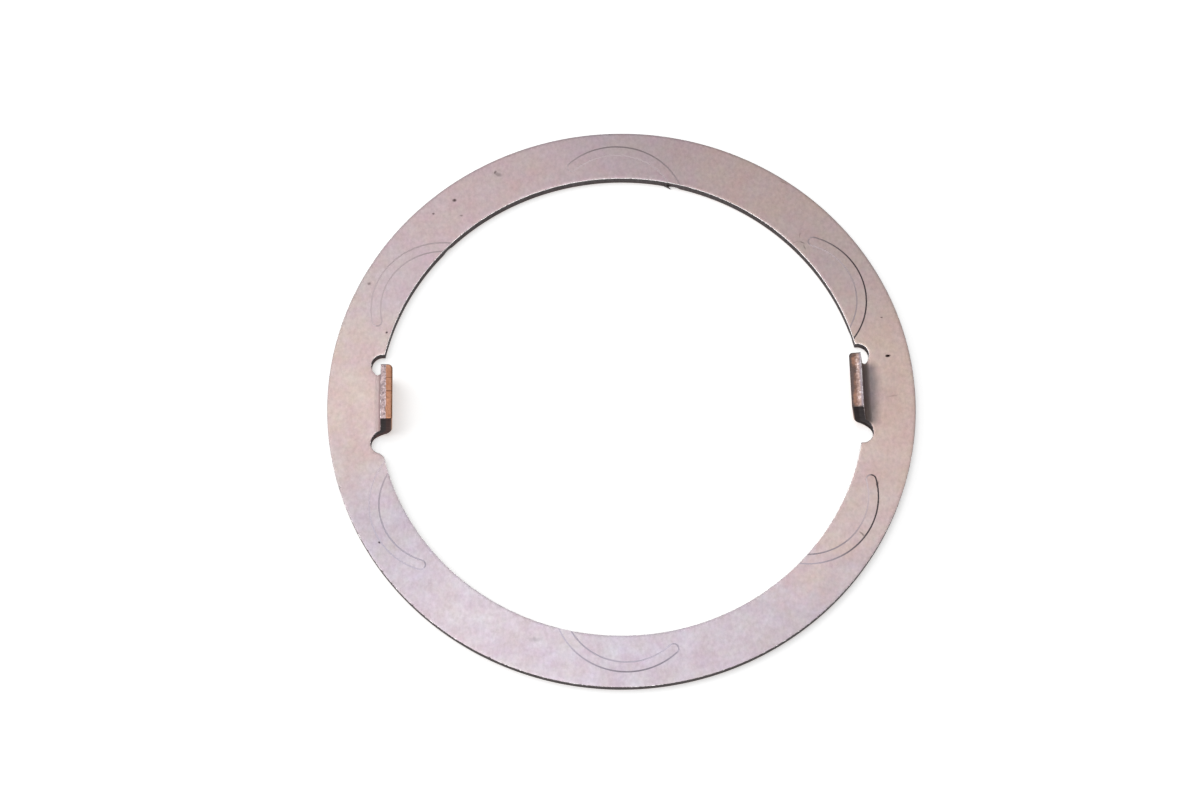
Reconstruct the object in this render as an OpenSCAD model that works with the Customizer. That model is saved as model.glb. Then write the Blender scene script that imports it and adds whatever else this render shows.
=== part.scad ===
// Thrust washer for a rotating shaft: a flat ring pressed from steel strip with a bearing-bronze
// face. Two locking tabs at the edge of the hole are bent up out of the ring, with a round relief
// notch on each side, and six curved oil grooves are coined into the bearing face.
// The axis is Z, the bearing face lies on Z = 0, and the tabs stand at +X and -X.

/* [Ring] */
// Outer diameter of the ring
outer_d = 92; // [80:0.5:110]
// Width of the ring, from the edge of the hole to the outer edge
ring_w = 8; // [7:0.1:11]
// Thickness of the strip
strip_t = 1.85; // [1.4:0.05:2.6]
// Radius that the press rolled on the edges of the bearing face
edge_roll = 0.4; // [0.1:0.05:0.6]

/* [Locking tabs] */
// Width of each tab
tab_w = 9.4; // [6:0.1:14]
// Height of the tips above the back of the ring
tab_h = 5.9; // [4:0.1:12]
// How far inside the edge of the hole the outer faces of the tabs stand, at their tips
tab_inset = 0.8; // [0.5:0.05:2]
// Angle that each tab is bent through
tab_bend = 84; // [78:1:90]
// Radius inside the bend
bend_r = 1.2; // [0.8:0.1:1.8]

/* [Relief notches] */
// Radius of the round notch on each side of a tab
notch_r = 1.75; // [1.4:0.05:2.4]
// How far a notch reaches under the side of its tab
notch_bite = 0.05; // [0.02:0.01:0.2]

/* [Oil grooves] */
// Number of grooves, evenly spaced from the middle of a side between the tabs
groove_count = 6; // [2:1:6]
// Radius of the curve that each groove follows
groove_r = 10.1; // [8:0.1:11]
// Width of the groove at the bearing face
groove_w = 1.75; // [1.2:0.05:2.4]
// Depth of the groove
groove_depth = 0.6; // [0.3:0.05:0.8]
// Width of the plain face left outside the grooves
groove_land = 2.2; // [1.2:0.1:4]
// Angle from the outward direction to the closed end of a groove
groove_end = 45; // [25:1:60]
// How much the closed end stands out beyond the round of the channel
groove_swell = 0.02; // [0.01:0.01:0.06]
// Height that the coining raised above the back of the ring
witness_h = 0.05; // [0.02:0.01:0.15]

/* [Hidden] */
$fn = 96;
steel = [0.72, 0.66, 0.66];

ring_r = outer_d / 2;
hole_r = ring_r - ring_w;
// Depth to which one solid runs into the next, so that the two join
overlap = 0.2;
// How far a cut runs past what it cuts
past = 1;

// The tab runs on a slope from its bend to its tip, which stands tab_inset inside the hole's edge
bend_top = bend_r * (1 - cos(tab_bend));
blade_l = (tab_h - bend_top) / sin(tab_bend);
bend_x = hole_r - tab_inset + blade_l * cos(tab_bend) + bend_r * sin(tab_bend);
bend_out = bend_r + strip_t;
// Angle that the tab's stock runs on past the end of its bend
bend_over = 5;
// Each neck starts a quarter of the way down the tab's rolled edge, so that the two blend
neck_y = tab_w / 2 - edge_roll + edge_roll / 4;

// Each notch is centred on the edge of the hole
notch_y = tab_w / 2 + notch_r - notch_bite;
notch_x = sqrt(hole_r * hole_r - notch_y * notch_y);

// The round-nosed punch that coins the grooves, and the circle that its path's centres lie on
punch_r = (groove_w * groove_w / 4 + groove_depth * groove_depth) / (2 * groove_depth);
groove_c = ring_r - groove_land - groove_w / 2 - groove_r;
groove_first = 90;
// The path turns back past the edge of the hole, so that the groove opens into it
groove_sweep = 180 + groove_end;

// Section from x = 0 to x = reach, w wide about the X axis, with its two far corners rolled
module rolled_section(reach, w) {
    translate([0, -w / 2]) square([reach - edge_roll, w]);
    translate([0, -w / 2 + edge_roll]) square([reach, w - 2 * edge_roll]);
    for (y = [-w / 2 + edge_roll, w / 2 - edge_roll])
        translate([reach - edge_roll, y]) circle(edge_roll);
}

// The plain ring: the section stands on its rolled side
module ring_blank() {
    rotate_extrude() translate([(hole_r + ring_r) / 2, strip_t]) rotate(-90)
        rolled_section(strip_t, ring_r - hole_r);
}

module at_bend_line() {
    translate([bend_x, 0, 0]) children();
}

// A frame on the axis of the bend, in which the strip turns from X to Y
module in_bend_frame() {
    at_bend_line() translate([0, 0, strip_t + bend_r]) rotate([-90, 90, 0]) children();
}

// All that lies within the bend and the blade's faces, out to the bearing face
module tab_outside() {
    rotate_extrude(angle = tab_bend + bend_over) rolled_section(bend_out, tab_w);
    rotate(tab_bend) intersection() {
        rotate([-90, 0, 0]) linear_extrude(blade_l) rolled_section(bend_out, tab_w);
        linear_extrude(tab_w + 2 * past, center = true) tip_profile();
    }
}

// Side view of the blade, with the tip's edge rolled on the bearing face
module tip_profile() {
    translate([0, -past]) {
        square([bend_out - edge_roll, blade_l + past]);
        square([bend_out, blade_l + past - edge_roll]);
    }
    translate([bend_out - edge_roll, blade_l - edge_roll]) circle(edge_roll);
}

// All that lies inside the bend and on the outer side of the blade
module tab_inside() {
    translate([0, 0, -tab_w / 2 - past]) {
        rotate_extrude(start = -bend_over, angle = tab_bend + 2 * bend_over)
            square([bend_r, tab_w + 2 * past]);
        rotate(tab_bend) cube([bend_r, blade_l + past, tab_w + 2 * past]);
    }
}

module tab() {
    in_bend_frame() difference() {
        tab_outside();
        tab_inside();
    }
}

// The ring's own metal that turns up beside the tab, as far as the notches leave it
module necks() {
    for (side = [0, 1]) mirror([0, side, 0]) intersection() {
        in_bend_frame() rotate_extrude(angle = tab_bend)
            translate([bend_r, neck_y]) square([strip_t, notch_y - neck_y]);
        at_bend_line() translate([notch_x - bend_x, 0, 0])
            cube([bend_x - notch_x + past, notch_y, strip_t + bend_r]);
    }
}

// Room in the ring for the bend, between the centres of the two notches
module bend_room() {
    at_bend_line() translate([-bend_out - past, -notch_y, -past])
        cube([bend_out + past, 2 * notch_y, strip_t + 2 * past]);
}

module notches() {
    for (y = [-notch_y, notch_y])
        translate([notch_x, y, -past]) cylinder(r = notch_r, h = bend_out + 2 * past);
}

module both_sides() {
    for (turn = [0, 180]) rotate(turn) children();
}

// Puts a shape at each groove's centre, with X outwards along the ring's radius
module at_grooves() {
    for (i = [0:groove_count - 1])
        rotate(groove_first + i * 360 / groove_count) translate([groove_c, 0, 0]) children();
}

// What the punch takes out of the bearing face: a round-bottomed channel with one ball end
module groove() {
    translate([0, 0, groove_depth - punch_r]) {
        rotate_extrude(start = groove_end - groove_sweep, angle = groove_sweep)
            translate([groove_r, 0]) circle(punch_r);
        rotate(groove_end) translate([groove_r, 0, 0]) sphere(punch_r + groove_swell);
    }
}

// The low raised band that shows on the back over each groove
module witness() {
    translate([0, 0, strip_t - overlap]) {
        rotate_extrude(start = groove_end - groove_sweep, angle = groove_sweep)
            translate([groove_r - groove_w / 2, 0]) square([groove_w, witness_h + overlap]);
        rotate(groove_end) translate([groove_r, 0, 0])
            cylinder(r = groove_w / 2 + groove_swell, h = witness_h + overlap);
    }
}

// The ring with its notches cut and the necks of the tabs turned up
module notched_ring() {
    difference() {
        union() {
            difference() {
                ring_blank();
                both_sides() bend_room();
            }
            both_sides() necks();
        }
        both_sides() notches();
    }
}

module witness_bands() {
    difference() {
        at_grooves() witness();
        translate([0, 0, -past]) cylinder(r = hole_r, h = strip_t + 2 * past);
    }
}

module washer() {
    color(steel) difference() {
        union() {
            notched_ring();
            both_sides() tab();
            witness_bands();
        }
        at_grooves() groove();
    }
}

washer();
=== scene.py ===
"""A bimetal thrust washer lying on its bearing face, with its two locking tabs standing up."""
import math

import bpy
from mathutils import Matrix, Vector


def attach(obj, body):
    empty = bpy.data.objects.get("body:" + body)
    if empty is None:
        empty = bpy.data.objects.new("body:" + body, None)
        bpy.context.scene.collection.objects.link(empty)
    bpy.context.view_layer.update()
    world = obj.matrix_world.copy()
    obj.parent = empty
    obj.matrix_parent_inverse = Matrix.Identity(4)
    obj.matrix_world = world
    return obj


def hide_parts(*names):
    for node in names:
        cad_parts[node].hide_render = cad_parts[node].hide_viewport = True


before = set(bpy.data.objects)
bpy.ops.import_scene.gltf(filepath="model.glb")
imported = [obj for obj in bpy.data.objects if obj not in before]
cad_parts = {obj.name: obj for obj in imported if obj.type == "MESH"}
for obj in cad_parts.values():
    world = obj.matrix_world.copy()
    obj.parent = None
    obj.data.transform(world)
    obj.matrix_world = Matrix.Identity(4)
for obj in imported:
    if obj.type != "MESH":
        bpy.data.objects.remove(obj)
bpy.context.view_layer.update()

# The blank: steel strip with a layer of bearing bronze sintered on one side. The press pierces the hole,
# leaving two tongues in it with a round notch beside each, and then cuts the outer edge.
MM = 0.001
outer_r = 46.0 * MM
hole_r = 38.0 * MM
strip_t = 1.85 * MM
rim_steps = 360
bend_r = 1.2 * MM
notch_r = 1.75 * MM
notch_x = 37.4 * MM
notch_y = 6.47 * MM
# The tongue's sides run a little way into its notches
notch_bite = 0.03 * MM
root_half = notch_y - notch_r + notch_bite
tip_half = 4.5 * MM
# Both tongues were pierced a little off the middle, and bent a little differently: where the outer face
# of the tip stands, its height above the ring's back, the angle of the bend, and the radius that the press
# crushed on the far corner of the tip
tongue_y = 0.22 * MM
tongues = [
    {"side": 1, "tip_x": 37.2 * MM, "height": 6.1 * MM, "bend": 82.2, "crushed": 0.55 * MM},
    {"side": -1, "tip_x": 37.15 * MM, "height": 5.7 * MM, "bend": 85.0, "crushed": 0.75 * MM},
]
for tongue in tongues:
    angle = math.radians(tongue["bend"])
    straight = (tongue["height"] - bend_r * (1 - math.cos(angle))) / math.sin(angle)
    tongue["angle"] = angle
    tongue["bend_x"] = tongue["tip_x"] + straight * math.cos(angle) + bend_r * math.sin(angle)
    tongue["arc"] = angle * (bend_r + strip_t / 2)
    tongue["flat_tip"] = tongue["bend_x"] - tongue["arc"] - straight
# Points closer than this are taken for one
touching = 0.01 * MM
# On each side, all that lies further out than this belongs to the tongue or to the ring behind it
tongue_zone = 25 * MM


def only(thing):
    """Make one object the selected and active one."""
    bpy.ops.object.select_all(action="DESELECT")
    thing.select_set(True)
    bpy.context.view_layer.objects.active = thing


def pick(thing, test, mode="FACE"):
    """Enter edit mode on an object with the faces, edges or vertices that pass a test selected."""
    only(thing)
    bpy.ops.object.mode_set(mode="EDIT")
    bpy.ops.mesh.select_mode(type=mode)
    bpy.ops.mesh.select_all(action="DESELECT")
    bpy.ops.object.mode_set(mode="OBJECT")
    parts = {"FACE": thing.data.polygons, "EDGE": thing.data.edges, "VERT": thing.data.vertices}[mode]
    for part in parts:
        part.select = bool(test(part))
    bpy.ops.object.mode_set(mode="EDIT")


def apply_modifier(thing, kind, **settings):
    """Add a modifier with its settings and apply it."""
    only(thing)
    bpy.ops.object.modifier_add(type=kind)
    modifier = thing.modifiers[-1]
    for name, value in settings.items():
        setattr(modifier, name, value)
    bpy.ops.object.modifier_apply(modifier=modifier.name)


def press(thing, tool, operation="DIFFERENCE"):
    """Cut a tool's shape out of a piece, or join it on, and put the tool away."""
    apply_modifier(thing, "BOOLEAN", operation=operation, object=tool, solver="EXACT")
    only(tool)
    bpy.ops.object.delete()


# The piercing punch is round, with a gap for each tongue and a pin for each notch. All three run well past
# the strip, and to different depths, so that their ends lie apart.
punch_depth = 10 * MM
gap_depth = 20 * MM
pin_depth = 9 * MM
gap_end = 50 * MM
bpy.ops.object.select_all(action="DESELECT")
bpy.ops.mesh.primitive_cylinder_add(vertices=rim_steps, radius=hole_r, depth=punch_depth)
punch = bpy.context.object
for tongue in tongues:
    side, length = tongue["side"], gap_end - tongue["flat_tip"]
    middle = (side * (tongue["flat_tip"] + length / 2), tongue_y, 0)
    bpy.ops.object.select_all(action="DESELECT")
    bpy.ops.mesh.primitive_cube_add(size=1, location=middle, scale=(length, 2 * root_half, gap_depth))
    gap = bpy.context.object
    bpy.ops.object.transform_apply(location=True, rotation=True, scale=True)
    # The tongue tapers from its notches to its tip
    wide = length / (notch_x - tongue["flat_tip"])
    pick(gap, lambda v: v.co.x * side > hole_r, "VERT")
    spread = 1 + (1 - tip_half / root_half) * (wide - 1)
    bpy.ops.transform.resize(value=(1, spread, 1), center_override=(0, tongue_y, 0))
    bpy.ops.mesh.select_all(action="INVERT")
    bpy.ops.transform.resize(value=(1, tip_half / root_half, 1), center_override=(0, tongue_y, 0))
    bpy.ops.object.mode_set(mode="OBJECT")
    press(punch, gap)
for tongue in tongues:
    for y in (tongue_y - notch_y, tongue_y + notch_y):
        bpy.ops.object.select_all(action="DESELECT")
        bpy.ops.mesh.primitive_cylinder_add(vertices=64, radius=notch_r, depth=pin_depth,
                                            location=(tongue["side"] * notch_x, y, 0))
        press(punch, bpy.context.object, "UNION")

bpy.ops.object.select_all(action="DESELECT")
bpy.ops.mesh.primitive_circle_add(vertices=rim_steps, radius=outer_r, fill_type="NGON")
washer = bpy.context.object
washer.name = "pressed_washer"
press(washer, punch)

# A border inside the outline takes the rolled edges later. The punch left some points of the outline
# almost doubled, and these are merged. Where a notch meets the hole, the points nearest the corner go
# too, so that the border fits inside it.
border = 0.45 * MM
corner_room = 0.5 * MM
corners = []
for tongue in tongues:
    for y in (tongue_y - notch_y, tongue_y + notch_y):
        away = math.hypot(notch_x, y)
        turn = (math.atan2(abs(y), notch_x)
                + math.acos((hole_r ** 2 + away ** 2 - notch_r ** 2) / (2 * hole_r * away)))
        corners.append((tongue["side"] * hole_r * math.cos(turn), math.copysign(hole_r * math.sin(turn), y)))
worn_corner = corners[2]


def beside_corner(vert):
    """True for the points that go. At the corner where the punch was worn, its own point goes as well."""
    corner = min(corners, key=lambda place: math.dist(vert.co[:2], place))
    away = math.dist(vert.co[:2], corner)
    return away < corner_room and (away > 2 * touching or corner == worn_corner)


def within_border(face):
    """True for the broad faces inside the border, which alone have many corners."""
    return len(face.vertices) > 8


def round_notch(face):
    """True for the border's faces on a notch's outer half, which are narrow enough to bend as they are."""
    away = math.hypot(abs(face.center.x) - notch_x, abs(face.center.y - tongue_y) - notch_y)
    return abs(face.center.x) > notch_x - touching and away < notch_r + border and len(face.vertices) == 4


pick(washer, lambda f: True)
bpy.ops.mesh.remove_doubles(threshold=touching)
bpy.ops.object.mode_set(mode="OBJECT")
pick(washer, beside_corner, "VERT")
bpy.ops.mesh.dissolve_verts()
bpy.ops.mesh.select_mode(type="FACE")
bpy.ops.mesh.select_all(action="SELECT")
bpy.ops.mesh.inset(thickness=border, use_boundary=True, use_even_offset=True)
bpy.ops.object.mode_set(mode="OBJECT")

# Rows across each tongue's root, so that it can bend. They end at two cuts just past the notches, and faces
# that only touch those cuts stay whole.
rows_end = 9 * MM
rows_reach = 8.9 * MM
bend_rows = 16
for y in (-rows_end, rows_end):
    pick(washer, within_border)
    bpy.ops.mesh.bisect(plane_co=(0, y, 0), plane_no=(0, 1, 0))
    bpy.ops.object.mode_set(mode="OBJECT")
for tongue in tongues:
    side = tongue["side"]
    for row in range(bend_rows + 1):
        pick(washer, lambda f: f.center.x * side > tongue_zone and abs(f.center.y) < rows_reach
             and not round_notch(f) and (abs(f.center.y - tongue_y) < notch_y or within_border(f)))
        row_x = side * (tongue["bend_x"] - tongue["arc"] * row / bend_rows)
        bpy.ops.mesh.bisect(plane_co=(row_x, 0, 0), plane_no=(1, 0, 0))
        bpy.ops.object.mode_set(mode="OBJECT")

# The strip's thickness
pick(washer, lambda f: True)
bpy.ops.mesh.extrude_region_move(TRANSFORM_OT_translate={"value": (0, 0, strip_t)})
bpy.ops.mesh.select_all(action="SELECT")
bpy.ops.mesh.normals_make_consistent(inside=False)
bpy.ops.object.mode_set(mode="OBJECT")


def across_tip_corner(edge):
    """True for the border's slanting edges at the corners of the tips, which the rolls can't end on."""
    ends = [washer.data.vertices[v].co for v in edge.vertices]
    slanting = abs(math.dist(*ends) - math.sqrt(2) * border) < 0.2 * border
    return (ends[0].z == ends[1].z and slanting
            and any(math.dist(end[:2], (tongue["side"] * tongue["flat_tip"], tongue_y + y)) < 2 * touching
                    for end in ends for tongue in tongues for y in (-tip_half, tip_half)))


pick(washer, across_tip_corner, "EDGE")
bpy.ops.mesh.dissolve_edges(use_verts=False)
bpy.ops.object.mode_set(mode="OBJECT")

# The edges: the press rolled them round on the bearing face, where the punch went in, and left them
# crisp and bright on the back, where it came out.
edge_roll = 0.3 * MM
tip_roll = 0.16 * MM
crisp_edge = 0.05 * MM
BACK, EDGE, CUT, TIP, BRONZE, CREASE = range(6)
for name in ("cold_rolled_steel", "burnished_steel_edge", "sheared_steel", "sheared_bimetal",
             "sintered_lead_bronze", "coined_steel_crease"):
    washer.data.materials.append(bpy.data.materials.new(name))
# How far a normal points up, sideways or down on a face of the back, of a tip and of the bearing side, and
# how far from the washer's middle, along X and along Y, the tips reach
back_up = 0.5
tip_sideways = 0.69
bronze_down = -0.3
tips_within = (35 * MM, 5 * MM)


def flat_slot(face):
    """The slot that a face of the flat blank takes."""
    if face.normal.z > back_up:
        return BACK
    at_tip = abs(face.center.x) < tips_within[0] and abs(face.center.y) < tips_within[1]
    if at_tip and abs(face.normal.x) > tip_sideways:
        return TIP
    return BRONZE if face.normal.z < bronze_down else CUT


def pick_between(thing, ones, others):
    """Select the edges that lie between faces of two groups of slots."""
    slots = {}
    for face in thing.data.polygons:
        for key in face.edge_keys:
            slots.setdefault(key, []).append(face.material_index)

    def test(edge):
        found = slots[tuple(sorted(edge.vertices))]
        return len(found) == 2 and (found[0] in ones and found[1] in others
                                    or found[1] in ones and found[0] in others)
    pick(thing, test, "EDGE")


def roll_edges(ones, others, **settings):
    """Sort the blank's faces into their slots, and bevel the edges between two groups of them."""
    for face in washer.data.polygons:
        face.material_index = flat_slot(face)
    pick_between(washer, ones, others)
    bpy.ops.mesh.bevel(profile=0.5, clamp_overlap=False, **settings)
    bpy.ops.object.mode_set(mode="OBJECT")


roll_edges({BRONZE}, {CUT}, offset=edge_roll, segments=5)
# On the far side of each tongue the rolled edge widens to the tip
for tongue in tongues:
    tip_edge, far_side = tongue["side"] * tongue["flat_tip"], tongue_y + tip_half
    pick(washer, lambda v: abs(v.co.x - tip_edge) < border + touching and v.co.z < edge_roll + touching
         and abs(v.co.y - far_side) < border + touching, "VERT")
    widened = tongue["crushed"] / edge_roll
    bpy.ops.transform.resize(value=(1, widened, widened), center_override=(tip_edge, far_side, 0))
    bpy.ops.object.mode_set(mode="OBJECT")
roll_edges({TIP}, {BRONZE, CUT}, offset=tip_roll, segments=3)
roll_edges({BACK}, {CUT, TIP}, offset=crisp_edge, segments=4, material=EDGE)

# The oil grooves: a round-nosed punch coined six curved channels into the bearing face, each closed at
# one end and open into the hole at the other, and pushed up a low band over each on the back.
groove_count = 6
groove_first = math.radians(30)
groove_r = 10.4 * MM
groove_w = 1.75 * MM
groove_depth = 0.6 * MM
groove_land = 2.25 * MM
groove_c = outer_r - groove_land - groove_w / 2 - groove_r
groove_end = math.radians(42)
groove_steps = 75
nose_r = (groove_w ** 2 / 4 + groove_depth ** 2) / (2 * groove_depth)
nose_z = groove_depth - nose_r
# The ball at the closed end is a hair larger than the channel, so that no face of the one lies on the other
nose_swell = 0.004 * MM
band_h = 0.025 * MM
band_slope = 0.24 * MM
# The bands stop just outside the hole's crisp edge
band_stop = hole_r + 1.2 * crisp_edge


def closed_end(z):
    """The middle of a groove's closed end, with the groove's own centre on the X axis."""
    return (groove_c + groove_r * math.cos(groove_end), groove_r * math.sin(groove_end), z)


def along_groove(tool):
    """Spin a tool's section along the groove."""
    pick(tool, lambda f: True)
    bpy.ops.mesh.spin(steps=groove_steps, angle=math.pi + groove_end, center=(groove_c, 0, 0), axis=(0, 0, 1))
    bpy.ops.object.mode_set(mode="OBJECT")


def take_finishes(tool, slot_of):
    """Give a tool the washer's materials, and each of its faces the slot that a rule says."""
    for material in washer.data.materials:
        tool.data.materials.append(material)
    for face in tool.data.polygons:
        face.material_index = slot_of(face)


def six_around(tool, slot):
    """Close a tool, repeat it at the six grooves, and give it the washer's finish in a slot."""
    pick(tool, lambda f: True)
    bpy.ops.mesh.remove_doubles(threshold=touching / 100)
    bpy.ops.mesh.normals_make_consistent(inside=False)
    bpy.ops.transform.rotate(value=groove_first, orient_axis="Z", center_override=(0, 0, 0))
    bpy.ops.mesh.spin(steps=groove_count - 1, dupli=True, angle=math.radians(360 - 360 / groove_count),
                      center=(0, 0, 0), axis=(0, 0, 1))
    bpy.ops.object.mode_set(mode="OBJECT")
    take_finishes(tool, lambda f: slot)


bpy.ops.object.select_all(action="DESELECT")
bpy.ops.mesh.primitive_circle_add(vertices=48, radius=nose_r, fill_type="NGON", location=closed_end(nose_z),
                                  rotation=(math.pi / 2, 0, groove_end))
channel = bpy.context.object
bpy.ops.object.transform_apply(location=True, rotation=True, scale=True)
along_groove(channel)
six_around(channel, BRONZE)
press(washer, channel)
bpy.ops.object.select_all(action="DESELECT")
bpy.ops.mesh.primitive_uv_sphere_add(segments=48, ring_count=24, radius=nose_r + nose_swell,
                                     location=closed_end(nose_z))
nose = bpy.context.object
bpy.ops.object.transform_apply(location=True, rotation=True, scale=True)
six_around(nose, BRONZE)
press(washer, nose)

# The bands' section is a low plateau with sloped sides, sunk half into the back
bpy.ops.object.select_all(action="DESELECT")
bpy.ops.mesh.primitive_plane_add(size=1, location=closed_end(strip_t), rotation=(math.pi / 2, 0, groove_end))
band = bpy.context.object
band.scale = (groove_w + 2 * band_slope, 2 * band_h, 1)
bpy.ops.object.transform_apply(location=True, rotation=True, scale=True)
pick(band, lambda v: v.co.z > strip_t, "VERT")
narrow = (groove_w - 2 * band_slope) / (groove_w + 2 * band_slope)
bpy.ops.transform.resize(value=(narrow, narrow, 1), center_override=closed_end(strip_t))
bpy.ops.object.mode_set(mode="OBJECT")
along_groove(band)
six_around(band, BACK)
bpy.ops.object.select_all(action="DESELECT")
bpy.ops.mesh.primitive_cylinder_add(vertices=rim_steps, radius=band_stop, depth=punch_depth)
press(band, bpy.context.object)
press(washer, band, "UNION")
bpy.ops.object.select_all(action="DESELECT")
bpy.ops.mesh.primitive_cone_add(vertices=48, radius1=groove_w / 2 + band_slope,
                                radius2=groove_w / 2 - band_slope, depth=2 * band_h,
                                location=closed_end(strip_t))
band_end = bpy.context.object
bpy.ops.object.transform_apply(location=True, rotation=True, scale=True)
six_around(band_end, BACK)
press(washer, band_end, "UNION")
# Their sloped sides are what isn't level above the back
level_up = 0.998
above_back = strip_t + 0.1 * band_h
for face in washer.data.polygons:
    if face.material_index == BACK and face.center.z > above_back and face.normal.z < level_up:
        face.material_index = CREASE

# The knocks that it took: nicks in the outer edge on the near left, each at its angle and with its size
# in millimetres, a rust pit beside one tab, and a burr that the punch dragged into a groove's mouth.
nicks = [(-163, 0.30), (-153, 0.14), (-149, 0.18), (-144, 0.24), (-141, 0.14), (-135, 0.18), (-132, 0.13),
         (-127, 0.11), (-117, 0.20), (-111, 0.11), (-99, 0.14), (-96, 0.11)]
# Each knock came from above, a little aslant
nick_tilt = (0.3, 0.4)
nick_rise = 0.3
pit_place = (42.1 * MM, 6.3 * MM, strip_t + 0.03 * MM)
pit_size = (0.3 * MM, 0.17 * MM, 0.12 * MM)


def round_axis(radius, degrees, z):
    """The point at a distance from the washer's axis, at an angle round it and at a height."""
    return Vector((radius * math.cos(math.radians(degrees)), radius * math.sin(math.radians(degrees)), z))


bpy.ops.object.select_all(action="DESELECT")
bpy.ops.mesh.primitive_ico_sphere_add(subdivisions=3, radius=1, location=pit_place, scale=pit_size)
chisel = bpy.context.object
bpy.ops.object.transform_apply(location=True, rotation=True, scale=True)
bpy.ops.object.mode_set(mode="EDIT")
for degrees, width in nicks:
    bpy.ops.mesh.primitive_ico_sphere_add(
        subdivisions=1, radius=width * MM, rotation=(*nick_tilt, math.radians(degrees)),
        location=round_axis(outer_r, degrees, strip_t + nick_rise * width * MM))
bpy.ops.object.mode_set(mode="OBJECT")
take_finishes(chisel, lambda f: BACK if f.center.x > 0 else EDGE)
press(washer, chisel)
burr_root = round_axis(38.2 * MM, 78.2, 0.35 * MM)
burr_tip = round_axis(37.7 * MM, 76.3, 0.2 * MM)
burr_way = burr_tip - burr_root
bpy.ops.object.select_all(action="DESELECT")
bpy.ops.mesh.primitive_cone_add(vertices=10, radius1=0.24 * MM, radius2=0.05 * MM, depth=burr_way.length,
                                location=(burr_root + burr_tip) / 2,
                                rotation=burr_way.to_track_quat("Z", "Y").to_euler())
burr = bpy.context.object
take_finishes(burr, lambda f: CUT)
press(washer, burr, "UNION")

# Where each point lay in the flat strip. The grain and the layers of the strip follow the bends by it.
only(washer)
bpy.ops.geometry.attribute_add(name="flat_strip", domain="POINT", data_type="FLOAT_VECTOR")
flat_places = [c for vert in washer.data.vertices for c in vert.co]
washer.data.attributes["flat_strip"].data.foreach_set("vector", flat_places)

# The locking tabs: the two tongues, bent up over a round-edged anvil. Each bend turns the strip round the
# anvil's edge, and leaves the blade straight from there to its tip.
for tongue in tongues:
    side = tongue["side"]
    bend_line = tongue["bend_x"] - touching / 100
    group = washer.vertex_groups.new(name="tongue")
    group.add([v.index for v in washer.data.vertices
               if abs(v.co.y - tongue_y) < notch_y and tongue_zone < v.co.x * side < bend_line],
              1.0, "REPLACE")
    bpy.ops.object.select_all(action="DESELECT")
    bpy.ops.object.empty_add(location=(side * tongue["bend_x"], 0, strip_t / 2),
                             rotation=(0, math.radians(-90), 0 if side > 0 else math.pi))
    anvil = bpy.context.object
    start = (outer_r - tongue["bend_x"]) / (2 * outer_r)
    apply_modifier(washer, "SIMPLE_DEFORM", deform_method="BEND", deform_axis="Y", origin=anvil,
                   angle=tongue["angle"], vertex_group="tongue",
                   limits=(start, start + tongue["arc"] / (2 * outer_r)))
    washer.vertex_groups.clear()
    only(anvil)
    bpy.ops.object.delete()

only(washer)
bpy.ops.object.shade_smooth_by_angle(angle=math.radians(20))
pick_between(washer, {CREASE}, {BACK})
bpy.ops.mesh.mark_sharp()
bpy.ops.object.mode_set(mode="OBJECT")
apply_modifier(washer, "WEIGHTED_NORMAL", keep_sharp=True)

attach(washer, "root")
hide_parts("washer")

# The finishes: each slot of the washer's mesh has a bare metal of its own, as the press left it, with a
# pattern that follows the flat strip round the bends.


def linear(code):
    """The linear colour of an sRGB hex value."""
    parts = [int(code[i:i + 2], 16) / 255 for i in (1, 3, 5)]
    return [c / 12.92 if c <= 0.04045 else ((c + 0.055) / 1.055) ** 2.4 for c in parts] + [1.0]


def plug(node, sockets):
    """Fill a node's sockets, each with a value, an output, or a node whose one output in use is meant."""
    for socket, value in sockets.items():
        if isinstance(value, bpy.types.Node):
            value = next(output for output in value.outputs if output.enabled)
        if isinstance(value, bpy.types.NodeSocket):
            node.id_data.links.new(value, node.inputs[socket])
        else:
            node.inputs[socket].default_value = value


def add(material, kind, sockets, **settings):
    """Add a node to a material, with its settings and with its sockets filled."""
    node = material.node_tree.nodes.new("ShaderNode" + kind)
    for name, value in settings.items():
        setattr(node, name, value)
    plug(node, sockets)
    return node


def metal_finish(slot, roughness):
    """Start the material of one of the washer's slots as a bare metal, and return it with its shader."""
    material = washer.data.materials[slot]
    material.use_nodes = True
    shader = material.node_tree.nodes["Principled BSDF"]
    plug(shader, {"Metallic": 1.0, "Roughness": roughness})
    return material, shader


# The steel back: the strip's own cold-rolled face, never ground. It has a soft sheen rather than a mirror's
# shine, clouds of warm and bluish grey where the oil film varies, a fine mottled grain and a few stains.
steel, steel_shader = metal_finish(BACK, 0.49)
flat = add(steel, "Attribute", {}, attribute_name="flat_strip").outputs["Vector"]
across = add(steel, "SeparateXYZ", {"Vector": flat})
# Clouds some 12 mm wide, a mottle of about 3 mm, and the rolled grain, of 0.5 mm and finer, a little
# longer along the strip
clouds = add(steel, "TexNoise", {"Vector": flat, "Scale": 1 / (12 * MM), "Detail": 4.0, "Roughness": 0.7})
along_strip = add(steel, "Mapping", {"Vector": flat, "Scale": (1.0, 0.75, 1.0)})
grain = add(steel, "TexNoise", {"Vector": along_strip, "Scale": 1 / (0.5 * MM), "Detail": 4.0,
                                "Roughness": 0.7})
mottle = add(steel, "TexNoise", {"Vector": flat, "Scale": 1 / (3.2 * MM), "Detail": 5.0, "Roughness": 0.65})
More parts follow.
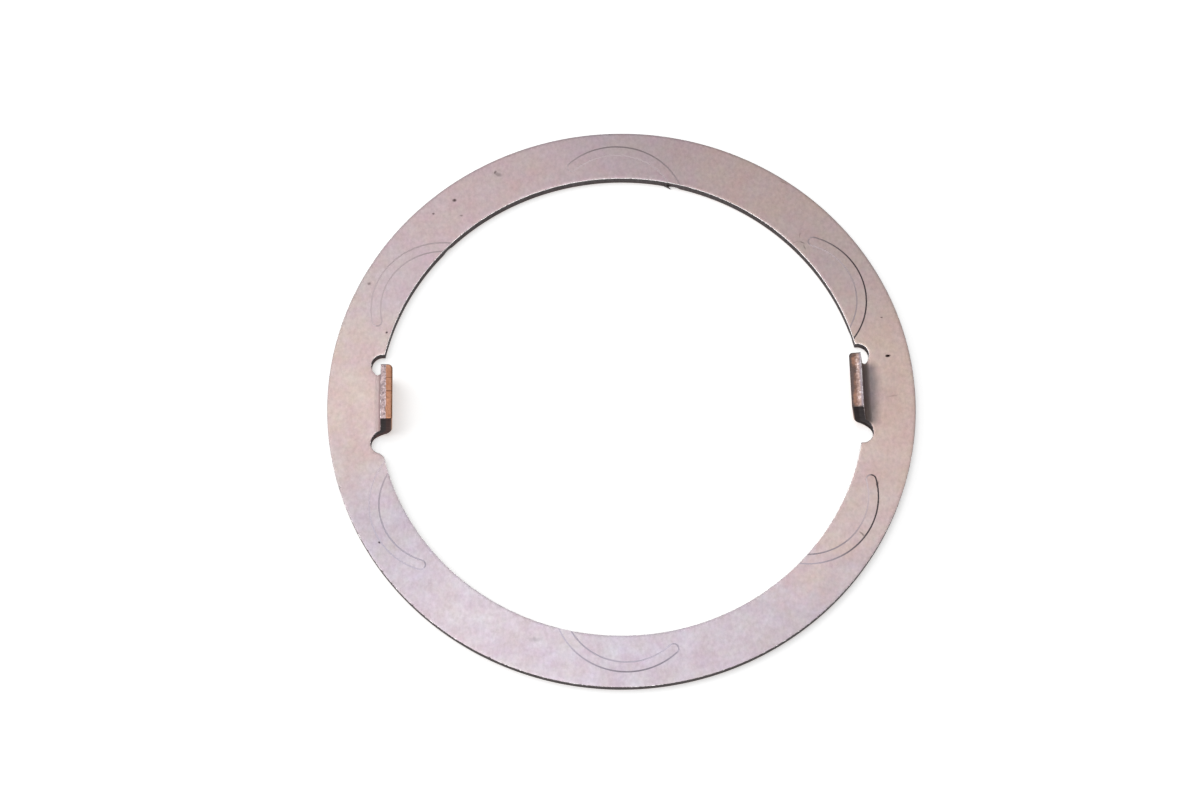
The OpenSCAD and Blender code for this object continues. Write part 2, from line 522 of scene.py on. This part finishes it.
# The oil film is warm towards +X, beige at the -X end and cool on the near side, and the clouds shift the
# borders between these by up to a centimetre
drift = add(steel, "Math", {0: clouds, 1: -0.5}, operation="ADD")
cloud_shift = 40 * MM
cool_slant = 0.2
cool_from, cool_to = -13 * MM, -28 * MM
warm_x = add(steel, "Math", {0: drift, 1: cloud_shift, 2: across.outputs["X"]}, operation="MULTIPLY_ADD")
warm = add(steel, "MapRange", {"Value": warm_x, "From Min": 8 * MM, "From Max": 44 * MM})
slant = add(steel, "Math", {0: across.outputs["X"], 1: cool_slant, 2: across.outputs["Y"]},
            operation="MULTIPLY_ADD")
cool_y = add(steel, "Math", {0: drift, 1: cloud_shift, 2: slant}, operation="MULTIPLY_ADD")
cool = add(steel, "MapRange", {"Value": cool_y, "From Min": cool_from, "From Max": cool_to})
film = add(steel, "Mix", {0: warm, 6: linear("#B8A5A7"), 7: linear("#C2ACA5")}, data_type="RGBA")
beige = add(steel, "MapRange", {"Value": warm_x, "From Min": -34 * MM, "From Max": -42 * MM})
film = add(steel, "Mix", {0: beige, 6: film, 7: linear("#B8A7A3")}, data_type="RGBA")
film = add(steel, "Mix", {0: cool, 6: film, 7: linear("#B1A6AD")}, data_type="RGBA")
# The coining left a bluish cast over each of the six grooves
around = add(steel, "Math", {0: across.outputs["Y"], 1: across.outputs["X"]}, operation="ARCTAN2")
around = add(steel, "Math", {0: around, 1: groove_count, 2: math.pi}, operation="MULTIPLY_ADD")
around = add(steel, "Math", {0: around}, operation="COSINE")
coined = add(steel, "Math", {0: clouds, 1: 1.2, 2: around}, operation="MULTIPLY_ADD")
coined = add(steel, "MapRange", {"Value": coined, "From Min": 0.3, "From Max": 1.7, "To Max": 0.25})
film = add(steel, "Mix", {0: coined, 6: film, 7: linear("#A8A2AE")}, data_type="RGBA")
tint = add(steel, "Mix", {0: 0.12, 6: film, 7: mottle.outputs["Color"]}, data_type="RGBA",
           blend_type="OVERLAY")
shade = add(steel, "MapRange", {"Value": grain, "From Min": 0.3, "From Max": 0.7, "To Min": 0.9,
                                "To Max": 1.11})
toned = add(steel, "VectorMath", {0: tint, "Scale": shade}, operation="SCALE")

# Where each mark lies on the back in millimetres, the way it runs in degrees, its half length and half
# width in millimetres, and how dark it is: two broad thin films of oil, stains, specks of rust, a pit and
# a few scratches
stains = [
    (-39.5, -17.0, -70, 13.0, 9.0, 0.05),
    (24.0, 34.0, -35, 26.0, 14.0, 0.08),
    (-18.9, 39.2, -25, 0.5, 0.3, 0.3),
    (-19.4, 39.6, 60, 0.25, 0.16, 0.5),
    (-26.0, 34.8, 0, 0.3, 0.22, 0.7),
    (-29.4, 32.5, 0, 0.18, 0.15, 0.5),
    (-24.9, 32.1, 0, 0.2, 0.12, 0.35),
    (-36.8, 12.2, 0, 0.16, 0.14, 0.8),
    (-37.6, -22.4, 0, 0.2, 0.18, 0.8),
    (-39.6, 20.6, 0, 0.25, 0.2, 0.35),
    (42.1, 6.3, 5, 0.34, 0.19, 1.0),
    (41.5, 12.8, 0, 0.14, 0.12, 0.6),
    (42.6, -0.4, 8, 0.9, 0.1, 0.15),
    (29.3, 27.3, 80, 0.5, 0.1, 0.3),
    (29.6, 26.0, 150, 0.45, 0.1, 0.45),
    (29.9, 25.2, 110, 0.45, 0.12, 0.4),
    (28.5, 26.1, 20, 0.4, 0.08, 0.3),
    (27.1, 36.6, -30, 0.7, 0.1, 0.3),
    (36.4, -22.8, 135, 0.5, 0.12, 0.35),
    (39.2, -14.8, 80, 0.4, 0.16, 0.7),
    (-14.0, -38.3, 0, 0.8, 0.3, 0.1),
]
# Their outlines wander a little
ripple = add(steel, "TexNoise", {"Vector": flat, "Scale": 1 / (0.5 * MM)})
ripple_w = 0.3 * MM
wander = add(steel, "VectorMath", {0: ripple.outputs["Color"], 1: (ripple_w, ripple_w, 0), 2: flat},
             operation="MULTIPLY_ADD")
wander = add(steel, "VectorMath", {0: wander, 1: (ripple_w / 2, ripple_w / 2, 0)}, operation="SUBTRACT")
stained = None
for x, y, way, half_long, half_wide, dark in stains:
    place = add(steel, "Mapping", {"Vector": wander, "Location": (x * MM, y * MM, 0),
                                   "Rotation": (0, 0, math.radians(way)),
                                   "Scale": (half_long * MM, half_wide * MM, 1)}, vector_type="TEXTURE")
    away = add(steel, "VectorMath", {0: place}, operation="LENGTH")
    mark = add(steel, "MapRange", {"Value": away, "From Min": 1.5, "From Max": 0.6, "To Max": dark})
    if stained is not None:
        mark = add(steel, "Math", {0: mark, 1: stained}, operation="MAXIMUM")
    stained = mark
# Painted shade, standing for the shadow of the tab at +X, lies along the foot of that tab and darkens the
# ring's face just outside it
corner_y = add(steel, "Math", {0: across.outputs["Y"]}, operation="ABSOLUTE")
corner_y = add(steel, "MapRange", {"Value": corner_y, "From Min": 5.6 * MM, "From Max": 4.2 * MM},
               interpolation_type="SMOOTHSTEP")
corner_x = add(steel, "Math", {0: drift, 1: 2 * MM, 2: across.outputs["X"]}, operation="MULTIPLY_ADD")
inside = add(steel, "Math", {0: across.outputs["X"], 1: 0.0}, operation="GREATER_THAN")
foot = add(steel, "MapRange", {"Value": corner_x, "From Min": 38.5 * MM, "From Max": 39.1 * MM,
                               "To Min": 0.7})
corner_x = add(steel, "MapRange", {"Value": corner_x, "From Min": 41.1 * MM, "From Max": 39.1 * MM},
               interpolation_type="SMOOTHSTEP")
corner_x = add(steel, "Math", {0: corner_x, 1: foot}, operation="MULTIPLY")
tab_foot_shade = add(steel, "Math", {0: corner_x, 1: corner_y}, operation="MULTIPLY")
tab_foot_shade = add(steel, "Math", {0: tab_foot_shade, 1: inside}, operation="MULTIPLY")
toned_and_tab_shaded = add(steel, "Mix", {0: tab_foot_shade, 6: toned, 7: linear("#B6BDC4")}, data_type="RGBA",
            blend_type="MULTIPLY")
soiled = add(steel, "Mix", {0: stained, 6: toned_and_tab_shaded, 7: linear("#2A1A19")}, data_type="RGBA")
sheen = add(steel, "MapRange", {"Value": mottle, "From Min": 0.3, "From Max": 0.7,
                                "To Min": 0.453, "To Max": 0.525})
dull = add(steel, "Math", {0: stained, 1: 0.3, 2: sheen}, operation="MULTIPLY_ADD")
relief = add(steel, "Bump", {"Height": grain, "Strength": 1.0, "Distance": 0.006 * MM})
plug(steel_shader, {"Base Color": soiled, "Roughness": dull, "Normal": relief})

# The crisp edge of the back: steel that the tool burnished as it broke through, so it is bright round the
# hole, and duller round the rim, where a fine ragged burr catches the light in sparks.
bright, bright_shader = metal_finish(EDGE, 0.34)
flat = add(bright, "Attribute", {}, attribute_name="flat_strip").outputs["Vector"]
# The burr's teeth are some 0.2 mm wide, drawn at 0.6 mm so that they show
sparks = add(bright, "TexNoise", {"Vector": flat, "Scale": 1 / (0.6 * MM), "Detail": 3.0, "Roughness": 0.6})
radius = add(bright, "VectorMath", {0: flat}, operation="LENGTH")
rim = add(bright, "MapRange", {"Value": radius, "From Min": 39 * MM, "From Max": 45 * MM,
                            "To Min": 0.1, "To Max": -0.1})
# It is dull beside the tabs too, but for the far notch at +X. The notches end between these distances
# from the X axis.
past_notch, in_notch = 8.6 * MM, 8.0 * MM
across = add(bright, "SeparateXYZ", {"Vector": flat})
aside = add(bright, "Math", {0: across.outputs["Y"]}, operation="ABSOLUTE")
by_tab = add(bright, "MapRange", {"Value": aside, "From Min": past_notch, "From Max": in_notch,
                                  "To Max": -0.18})
corner = add(bright, "Math", {0: across.outputs["X"], 1: across.outputs["Y"]}, operation="MINIMUM")
tab_darkening = add(bright, "Math", {0: corner, 1: 0.0}, operation="LESS_THAN")
level = add(bright, "Math", {0: by_tab, 1: tab_darkening, 2: sparks}, operation="MULTIPLY_ADD")
level = add(bright, "Math", {0: level, 1: rim}, operation="ADD")
tone = add(bright, "MapRange", {"Value": level, "From Min": 0.42, "From Max": 0.54})
ragged = add(bright, "Mix", {0: tone, 6: linear("#8A7E82"), 7: linear("#FAF6F6")}, data_type="RGBA")
relief = add(bright, "Bump", {"Height": sparks, "Strength": 1.0, "Distance": 0.05 * MM})
plug(bright_shader, {"Base Color": ragged, "Normal": relief})

# The cut walls: steel sheared by the press, with a smooth burnished zone above the rolled edge, a dark
# torn zone towards the back, and fine streaks along the punch's stroke.
cut, cut_shader = metal_finish(CUT, 0.5)
# Dirt and oxide keep it from shining at a grazing angle
plug(cut_shader, {"Specular Tint": linear("#BCBCBC")})
flat = add(cut, "Attribute", {}, attribute_name="flat_strip").outputs["Vector"]
depth = add(cut, "SeparateXYZ", {"Vector": flat}).outputs["Z"]
stroke = add(cut, "Mapping", {"Vector": flat, "Scale": (1.0, 1.0, 0.08)})
# The streaks are some 0.05 mm wide, drawn at 0.2 mm so that they show, and the torn grain is as much
# coarser than the real one
streaks = add(cut, "TexNoise", {"Vector": stroke, "Scale": 1 / (0.4 * MM), "Detail": 3.0, "Roughness": 0.6})
torn_grain = add(cut, "TexNoise", {"Vector": flat, "Scale": 1 / (0.35 * MM), "Detail": 3.0, "Roughness": 0.6})
edge_line = add(cut, "Math", {0: streaks, 1: 0.5 * MM, 2: depth}, operation="MULTIPLY_ADD")
torn = add(cut, "MapRange", {"Value": edge_line, "From Min": 1.2 * MM, "From Max": 1.3 * MM})
shade = add(cut, "MapRange", {"Value": streaks, "From Min": 0.3, "From Max": 0.7,
                              "To Min": 0.75, "To Max": 1.2})
# In the notches, on the tabs' sides and on the rim level with them, the walls are painted darker, as shade.
# There the bronze half is brown, more so at +X.
across = add(cut, "SeparateXYZ", {"Vector": flat})
aside = add(cut, "Math", {0: across.outputs["Y"]}, operation="ABSOLUTE")
by_tab = add(cut, "MapRange", {"Value": aside, "From Min": past_notch, "From Max": in_notch})
right = add(cut, "Math", {0: across.outputs["X"], 1: 0.0}, operation="GREATER_THAN")
browned = add(cut, "Mix", {0: right, 6: linear("#675250"), 7: linear("#433B3B")}, data_type="RGBA")
lower = add(cut, "Mix", {0: by_tab, 6: linear("#5C5555"), 7: browned}, data_type="RGBA")
zone = add(cut, "Mix", {0: torn, 6: lower, 7: linear("#5F595A")}, data_type="RGBA")
painted_shade = add(cut, "MapRange", {"Value": by_tab, "To Min": 1.0, "To Max": 0.8})
tab_darkening = add(cut, "Math", {0: shade, 1: painted_shade}, operation="MULTIPLY")
toned = add(cut, "VectorMath", {0: zone, "Scale": tab_darkening}, operation="SCALE")
dull = add(cut, "MapRange", {"Value": torn, "To Min": 0.45, "To Max": 0.55})
rough = add(cut, "Mix", {0: torn, 2: streaks, 3: torn_grain})
relief = add(cut, "Bump", {"Height": rough, "Strength": 1.0, "Distance": 0.03 * MM})
plug(cut_shader, {"Base Color": toned, "Roughness": dull, "Normal": relief})

# The tabs' tips: the strip sheared clean through, so that its two layers show side by side, ragged silvery
# steel on the outside and orange bronze on the inside, with two fine cracks. Brown tarnish has spread over
# the tip at +X from its inner edge, and left only sparks of bright steel.
tip, tip_shader = metal_finish(TIP, 0.42)
flat = add(tip, "Attribute", {}, attribute_name="flat_strip").outputs["Vector"]
place = add(tip, "SeparateXYZ", {"Vector": flat})
# The torn metal's crumbs are some 0.1 mm wide, drawn at 0.4 mm so that they show
crumbs = add(tip, "TexNoise", {"Vector": flat, "Scale": 1 / (0.38 * MM), "Detail": 4.0, "Roughness": 0.65})
patches = add(tip, "TexNoise", {"Vector": flat, "Scale": 1 / (1.6 * MM), "Detail": 3.0, "Roughness": 0.6})
layer = add(tip, "Math", {0: crumbs, 1: 0.35 * MM, 2: place.outputs["Z"]}, operation="MULTIPLY_ADD")
steel_side = add(tip, "MapRange", {"Value": layer, "From Min": 1.16 * MM, "From Max": 1.24 * MM})
patchy = add(tip, "MapRange", {"Value": crumbs, "From Min": 0.35, "From Max": 0.65})
silver = add(tip, "Mix", {0: patchy, 6: linear("#786A6D"), 7: linear("#C8B2B2")}, data_type="RGBA")
orange = add(tip, "Mix", {0: patches, 6: linear("#96654B"), 7: linear("#B68A72")}, data_type="RGBA")
# Two fine cracks run across the bronze
crack_w = 0.3 * MM
split = None
for crack_y in (2.5 * MM, 0.3 * MM):
    crack = add(tip, "Math", {0: crumbs, 1: crack_w, 2: place.outputs["Y"]}, operation="MULTIPLY_ADD")
    crack = add(tip, "Math", {0: crack, 1: crack_y + crack_w / 2}, operation="SUBTRACT")
    crack = add(tip, "Math", {0: crack}, operation="ABSOLUTE")
    crack = add(tip, "MapRange", {"Value": crack, "From Min": 0.12 * MM, "From Max": 0.04 * MM,
                                  "To Max": 0.6})
    if split is not None:
        crack = add(tip, "Math", {0: crack, 1: split}, operation="MAXIMUM")
    split = crack
orange = add(tip, "Mix", {0: split, 6: orange, 7: linear("#4A2C24")}, data_type="RGBA")
# Its rolled edge is dark
rolled = add(tip, "MapRange", {"Value": place.outputs["Z"], "From Min": edge_roll, "From Max": 0.18 * MM,
                               "To Max": 0.6})
orange = add(tip, "Mix", {0: rolled, 6: orange, 7: linear("#4A3229")}, data_type="RGBA")
clean = add(tip, "Mix", {0: steel_side, 6: orange, 7: silver}, data_type="RGBA")
# The tip at +X is brown, and rosy where the tarnish thins. It is dark along its inner edge, and grey along
# its outer one.
stretched = add(tip, "MapRange", {"Value": patches, "From Min": 0.35, "From Max": 0.65})
brown = add(tip, "Mix", {0: stretched, 6: linear("#584844"), 7: linear("#8A6758")}, data_type="RGBA")
rosy = add(tip, "Mix", {0: patchy, 6: linear("#8A726B"), 7: linear("#BCA29A")}, data_type="RGBA")
spread = add(tip, "Math", {0: stretched, 1: 0.25 * MM, 2: layer}, operation="MULTIPLY_ADD")
inner_zone = add(tip, "MapRange", {"Value": spread, "From Min": 0.95 * MM, "From Max": 0.6 * MM})
fresh = add(tip, "MapRange", {"Value": spread, "From Min": 1.1 * MM, "From Max": 1.55 * MM})
outer_zone = add(tip, "MapRange", {"Value": layer, "From Min": 1.55 * MM, "From Max": 1.8 * MM})
stale = add(tip, "Mix", {0: fresh, 6: brown, 7: rosy}, data_type="RGBA")
stale = add(tip, "Mix", {0: inner_zone, 6: stale, 7: linear("#544846")}, data_type="RGBA")
stale = add(tip, "Mix", {0: outer_zone, 6: stale, 7: linear("#8C8187")}, data_type="RGBA")
# Its sparks are brightest at the near end, and both its ends are dark
spark = add(tip, "MapRange", {"Value": crumbs, "From Min": 0.57, "From Max": 0.66})
near_end = add(tip, "MapRange", {"Value": place.outputs["Y"], "From Min": 3 * MM, "From Max": -4 * MM,
                                 "To Min": 0.35})
spark = add(tip, "Math", {0: spark, 1: near_end}, operation="MULTIPLY")
spark = add(tip, "Math", {0: spark, 1: fresh}, operation="MULTIPLY")
stale = add(tip, "Mix", {0: spark, 6: stale, 7: linear("#E4DCE0")}, data_type="RGBA")
off_middle = add(tip, "Math", {0: place.outputs["Y"], 1: tongue_y}, operation="SUBTRACT")
off_middle = add(tip, "Math", {0: off_middle}, operation="ABSOLUTE")
outline = add(tip, "MapRange", {"Value": off_middle, "From Min": 4.1 * MM, "From Max": 4.4 * MM,
                                "To Max": 0.8})
stale = add(tip, "Mix", {0: outline, 6: stale, 7: linear("#4A4443")}, data_type="RGBA")
right = add(tip, "Math", {0: place.outputs["X"], 1: 0.0}, operation="GREATER_THAN")
surface = add(tip, "Mix", {0: right, 6: clean, 7: stale}, data_type="RGBA")
relief = add(tip, "Bump", {"Height": crumbs, "Strength": 1.0, "Distance": 0.05 * MM})
plug(tip_shader, {"Base Color": surface, "Normal": relief})

# The bearing face: leaded bronze powder sintered on the steel and rolled smooth, so it is a matt coppery
# brown with grey specks of lead and a faint lay from the rolls.
bronze, bronze_shader = metal_finish(BRONZE, 0.45)
flat = add(bronze, "Attribute", {}, attribute_name="flat_strip").outputs["Vector"]
# The specks of lead are some 0.1 mm wide, drawn at 0.5 mm so that they show
specks = add(bronze, "TexNoise", {"Vector": flat, "Scale": 1 / (0.5 * MM), "Detail": 4.0, "Roughness": 0.7})
lay = add(bronze, "Mapping", {"Vector": flat, "Scale": (1.0, 0.03, 1.0)})
# The roll's lines are some 0.05 mm apart, drawn at 0.3 mm so that they show
lines = add(bronze, "TexNoise", {"Vector": lay, "Scale": 1 / (0.6 * MM), "Detail": 3.0, "Roughness": 0.6})
broad = add(bronze, "TexNoise", {"Vector": flat, "Scale": 1 / (9 * MM), "Detail": 2.0})
lead = add(bronze, "MapRange", {"Value": specks, "From Min": 0.52, "From Max": 0.66, "To Max": 0.6})
copper = add(bronze, "Mix", {0: broad, 6: linear("#B5805F"), 7: linear("#CB9C7F")}, data_type="RGBA")
mixed = add(bronze, "Mix", {0: lead, 6: copper, 7: linear("#8E8480")}, data_type="RGBA")
shade = add(bronze, "MapRange", {"Value": lines, "From Min": 0.3, "From Max": 0.7,
                                 "To Min": 0.9, "To Max": 1.08})
toned = add(bronze, "VectorMath", {0: mixed, "Scale": shade}, operation="SCALE")
# The blade at +X is tarnished brown
place = add(bronze, "SeparateXYZ", {"Vector": flat})
sideways = add(bronze, "Math", {0: place.outputs["Y"]}, operation="ABSOLUTE")
on_blade = add(bronze, "MapRange", {"Value": sideways, "From Min": 7 * MM, "From Max": 6 * MM})
near_tip = add(bronze, "MapRange", {"Value": place.outputs["X"], "From Min": 37 * MM, "From Max": 32 * MM})
right = add(bronze, "Math", {0: place.outputs["X"], 1: 0.0}, operation="GREATER_THAN")
tarnish = add(bronze, "Math", {0: on_blade, 1: near_tip}, operation="MULTIPLY")
tarnish = add(bronze, "Math", {0: tarnish, 1: right}, operation="MULTIPLY")
aged_and_shaded = add(bronze, "Mix", {0: tarnish, 6: toned, 7: linear("#64534D")}, data_type="RGBA")
# The grooves and the rolled edges are painted darker, as shade
painted_shade = add(bronze, "MapRange", {"Value": place.outputs["Z"], "From Min": 0.02 * MM, "From Max": 0.14 * MM,
                                "To Max": 0.7})
aged_and_shaded = add(bronze, "Mix", {0: painted_shade, 6: aged_and_shaded, 7: linear("#4E3F39")}, data_type="RGBA")
relief = add(bronze, "Bump", {"Height": lines, "Strength": 1.0, "Distance": 0.008 * MM})
plug(bronze_shader, {"Base Color": aged_and_shaded, "Normal": relief})

# The creases at the foot of the raised bands: coined steel, nearly as clean as the back where a rag wiped
# over them.
# They show as thin dark lines that fade and come back: old oil and dirt, together with painted shade on the
# slopes by the way they face, most on the outward sides, and above all at +X.
crease, crease_shader = metal_finish(CREASE, 0.5)
flat = add(crease, "Attribute", {}, attribute_name="flat_strip").outputs["Vector"]
across = add(crease, "SeparateXYZ", {"Vector": flat})
outward = add(crease, "VectorMath", {0: flat, 1: (1, 1, 0)}, operation="MULTIPLY")
outward = add(crease, "VectorMath", {0: outward}, operation="NORMALIZE")
normal = add(crease, "NewGeometry", {}).outputs["True Normal"]
# How far a slope leans away from the washer's axis: from -0.104 on a band's inward side to 0.104 on its
# outward side
facing = add(crease, "VectorMath", {0: normal, 1: outward}, operation="DOT_PRODUCT")
outer = add(crease, "MapRange", {"Value": facing, "From Min": 0.078, "From Max": 0.1, "To Min": 0.15})
rightwards = add(crease, "MapRange", {"Value": across.outputs["X"], "From Min": -30 * MM, "From Max": 0.0,
                                      "To Min": 0.05, "To Max": 0.42})
outer = add(crease, "Math", {0: outer, 1: rightwards}, operation="MULTIPLY")
outer_side = add(crease, "MapRange", {"Value": facing, "From Min": -0.06, "From Max": -0.02})
outer = add(crease, "Math", {0: outer, 1: outer_side}, operation="MULTIPLY")
heavy = add(crease, "MapRange", {"Value": across.outputs["X"], "From Min": 30 * MM, "From Max": 37.5 * MM,
                                 "To Max": 0.85})
heavy = add(crease, "Math", {0: heavy, 1: outer_side}, operation="MULTIPLY")
# On the inward sides painted shade lies on the slopes that face the grooves' open ends, most at the four that
# lie nearer the tabs
forward = add(crease, "VectorMath", {0: (0, 0, 1), 1: outward}, operation="CROSS_PRODUCT")
to_mouth = add(crease, "VectorMath", {0: normal, 1: forward}, operation="DOT_PRODUCT")
to_mouth = add(crease, "MapRange", {"Value": to_mouth, "From Min": -0.04, "From Max": 0.03, "To Min": 0.15})
by_tabs = add(crease, "Math", {0: across.outputs["X"]}, operation="ABSOLUTE")
by_tabs = add(crease, "MapRange", {"Value": by_tabs, "From Min": 9 * MM, "From Max": 24 * MM,
                                   "To Min": 0.1, "To Max": 0.36})
inner_side = add(crease, "MapRange", {"Value": facing, "From Min": 0.0, "From Max": -0.03})
inner = add(crease, "Math", {0: to_mouth, 1: inner_side}, operation="MULTIPLY")
inner = add(crease, "Math", {0: inner, 1: by_tabs}, operation="MULTIPLY")
wiped = add(crease, "TexNoise", {"Vector": flat, "Scale": 1 / (5 * MM), "Detail": 3.0})
fade = add(crease, "MapRange", {"Value": wiped, "From Min": 0.35, "From Max": 0.6,
                                "To Min": 1.0, "To Max": 0.7})
dirt_and_shade = add(crease, "Math", {0: outer, 1: inner}, operation="MAXIMUM")
dirt_and_shade = add(crease, "Math", {0: dirt_and_shade, 1: fade}, operation="MULTIPLY")
dirt_and_shade = add(crease, "Math", {0: dirt_and_shade, 1: heavy}, operation="MAXIMUM")
# The slopes that face the near left are painted darker, as shade, and the bluish film on the back's near side
# runs over the creases too
near_left = (-0.5, -0.87, 0)
near_left_shade = add(crease, "VectorMath", {0: normal, 1: near_left}, operation="DOT_PRODUCT")
near_left_shade = add(crease, "MapRange", {"Value": near_left_shade, "From Min": 0.0, "From Max": 0.1, "To Max": 0.27})
dirt_and_shade = add(crease, "Math", {0: dirt_and_shade, 1: near_left_shade}, operation="ADD")
slant = add(crease, "Math", {0: across.outputs["X"], 1: cool_slant, 2: across.outputs["Y"]},
            operation="MULTIPLY_ADD")
cool = add(crease, "MapRange", {"Value": slant, "From Min": cool_from, "From Max": cool_to})
clean = add(crease, "Mix", {0: cool, 6: linear("#BAABAE"), 7: linear("#B2AAB6")}, data_type="RGBA")
line = add(crease, "Mix", {0: dirt_and_shade, 6: clean, 7: linear("#302A2E")}, data_type="RGBA")
plug(crease_shader, {"Base Color": line})

# The floor: a plain pale sheet under the washer. It shows to the eye, and in the metal, as nearly white,
# and keeps the washer's soft shadow.
floor_r = 2.0
# It lies a hair below the bearing face, so that the two aren't in one plane
floor_gap = 0.02 * MM
floor_glow = 0.46
bpy.ops.object.select_all(action="DESELECT")
bpy.ops.mesh.primitive_circle_add(vertices=64, radius=floor_r, fill_type="NGON", location=(0, 0, -floor_gap))
floor = bpy.context.object
floor.name = "floor"
bpy.ops.object.transform_apply(location=True, rotation=True, scale=True)
paper = bpy.data.materials.new("matt_paper")
paper.use_nodes = True
paper_shader = paper.node_tree.nodes["Principled BSDF"]
plug(paper_shader, {"Base Color": linear("#E7E7E7"), "Roughness": 0.9, "Emission Color": linear("#FFFFFF")})
rays = add(paper, "LightPath", {})
seen = add(paper, "Math", {0: rays.outputs["Is Camera Ray"], 1: rays.outputs["Is Glossy Ray"]},
           operation="MAXIMUM")
seen = add(paper, "Math", {0: seen, 1: rays.outputs["Is Transmission Ray"]}, operation="MAXIMUM")
glow = add(paper, "Math", {0: seen, 1: floor_glow}, operation="MULTIPLY")
plug(paper_shader, {"Emission Strength": glow})
floor.data.materials.append(paper)

# The light: a dim white room, a wide softbox overhead, and a larger and weaker one at the left, whose light
# glints on the edges that face it. Each has its place, its width and its radiance.
room = bpy.data.worlds.new("white_room")
room.use_nodes = True
plug(room.node_tree.nodes["Background"], {"Color": linear("#FFFFFF"), "Strength": 0.22})
bpy.context.scene.world = room
softboxes = [("overhead_softbox", (-0.14, 0.05, 0.98), 0.65, 4.0),
             ("left_softbox", (-0.95, 0.1, 0.5), 1.1, 1.5)]
for name, place, width, radiance in softboxes:
    bpy.ops.object.select_all(action="DESELECT")
    bpy.ops.object.light_add(type="AREA", location=place)
    lamp = bpy.context.object
    lamp.name = name
    lamp.rotation_euler = (-Vector(place)).to_track_quat("-Z", "Y").to_euler()
    lamp.data.size = width
    lamp.data.energy = radiance * math.pi * width ** 2

# The camera: it stands on the near side, high above the washer, and is tilted a little about its own line
# of sight. Its place and lens were fitted to the ring's outlines in the photograph.
camera_place = (-3.400 * MM, -136.185 * MM, 376.482 * MM)
camera_aim = Vector((-3.309 * MM, 0.677 * MM, 0))
camera_tilt = math.radians(-1.277)
bpy.ops.object.select_all(action="DESELECT")
bpy.ops.object.camera_add(location=camera_place)
camera = bpy.context.object
look = camera_aim - camera.location
camera.rotation_euler = (look.to_track_quat("-Z", "Y").to_matrix()
                         @ Matrix.Rotation(camera_tilt, 3, "Z")).to_euler()
camera.data.lens = 76.457
camera.data.sensor_width = 36
camera.data.clip_start = 10 * MM
bpy.context.scene.camera = camera
bpy.context.scene.view_settings.view_transform = "Standard"
